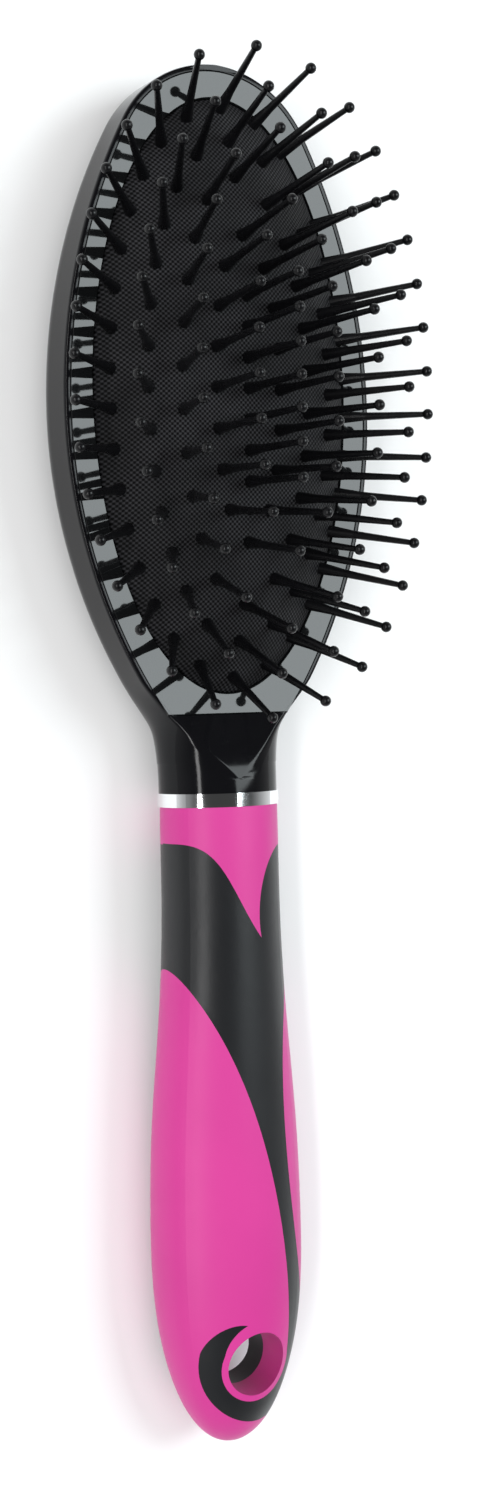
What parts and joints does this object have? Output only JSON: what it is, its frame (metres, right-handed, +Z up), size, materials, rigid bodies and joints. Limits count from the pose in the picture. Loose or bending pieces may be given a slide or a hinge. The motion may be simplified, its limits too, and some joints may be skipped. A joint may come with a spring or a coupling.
{
  "type": "pin brush",
  "caption": "Cushioned pin brush for grooming: oval glossy black head, air-cushioned ball-tipped pins, chrome ring and a two-colour soft handle with a hanging hole.",
  "frame": {"origin": "centre of the bounding box's base, with the brush lying on its back", "axes": "+Z up through the pins, +X from the handle towards the head, Y across; left is +Y"},
  "size_m": [0.2452, 0.0698, 0.0457],
  "materials": {
    "head_black": "high gloss black",
    "frame_black": "mirror gloss black",
    "cushion_rubber": "matt, fine woven texture",
    "pin_nylon": "satin black",
    "ferrule_chrome": "polished",
    "sleeve_pink": "satin soft touch pink",
    "grip_black": "matt soft touch black",
    "core_plastic": "plain moulded"
  },
  "bodies": {
    "root": {"head_shell": "head_black", "rim_frame": "frame_black", "cushion": "cushion_rubber", "ferrule": "ferrule_chrome", "handle_core": "core_plastic", "handle_sleeve": "sleeve_pink", "grip_overmould": "grip_black"},
    "outer_pins": {"outer_pins_head_end": "pin_nylon", "outer_pins_left": "pin_nylon", "outer_pins_right": "pin_nylon", "outer_pins_handle_end": "pin_nylon"},
    "second_pins": {"second_pins_head_end": "pin_nylon", "second_pins_left": "pin_nylon", "second_pins_right": "pin_nylon", "second_pins_handle_end": "pin_nylon"},
    "third_pins": {"third_pins_head_end": "pin_nylon", "third_pins_left": "pin_nylon", "third_pins_right": "pin_nylon", "third_pins_handle_end": "pin_nylon"},
    "inner_pins": {"inner_pins_head_end": "pin_nylon", "inner_pins_left": "pin_nylon", "inner_pins_right": "pin_nylon", "inner_pins_handle_end": "pin_nylon"},
    "centre_pins": {"centre_pins": "pin_nylon"}
  },
  "joints": [
    {"name": "centre_press", "type": "slide", "parent": "root", "child": "centre_pins", "axis": [0, 0, -1], "range_m": [0, 0.0024], "stiffness_N_per_m": 900, "deforming": ["cushion"]},
    {"name": "inner_press", "type": "slide", "parent": "root", "child": "inner_pins", "axis": [0, 0, -1], "range_m": [0, 0.00231], "stiffness_N_per_m": 900, "deforming": ["cushion"]},
    {"name": "third_press", "type": "slide", "parent": "root", "child": "third_pins", "axis": [0, 0, -1], "range_m": [0, 0.00197], "stiffness_N_per_m": 900, "deforming": ["cushion"]},
    {"name": "second_press", "type": "slide", "parent": "root", "child": "second_pins", "axis": [0, 0, -1], "range_m": [0, 0.00142], "stiffness_N_per_m": 900, "deforming": ["cushion"]},
    {"name": "outer_press", "type": "slide", "parent": "root", "child": "outer_pins", "axis": [0, 0, -1], "range_m": [0, 0.00051], "stiffness_N_per_m": 900, "deforming": ["cushion"]}
  ],
  "couplings": [
    {"joint": "inner_press", "follows": "centre_press", "ratio": 0.95},
    {"joint": "third_press", "follows": "centre_press", "ratio": 0.81},
    {"joint": "second_press", "follows": "centre_press", "ratio": 0.58},
    {"joint": "outer_press", "follows": "centre_press", "ratio": 0.2}
  ]
}
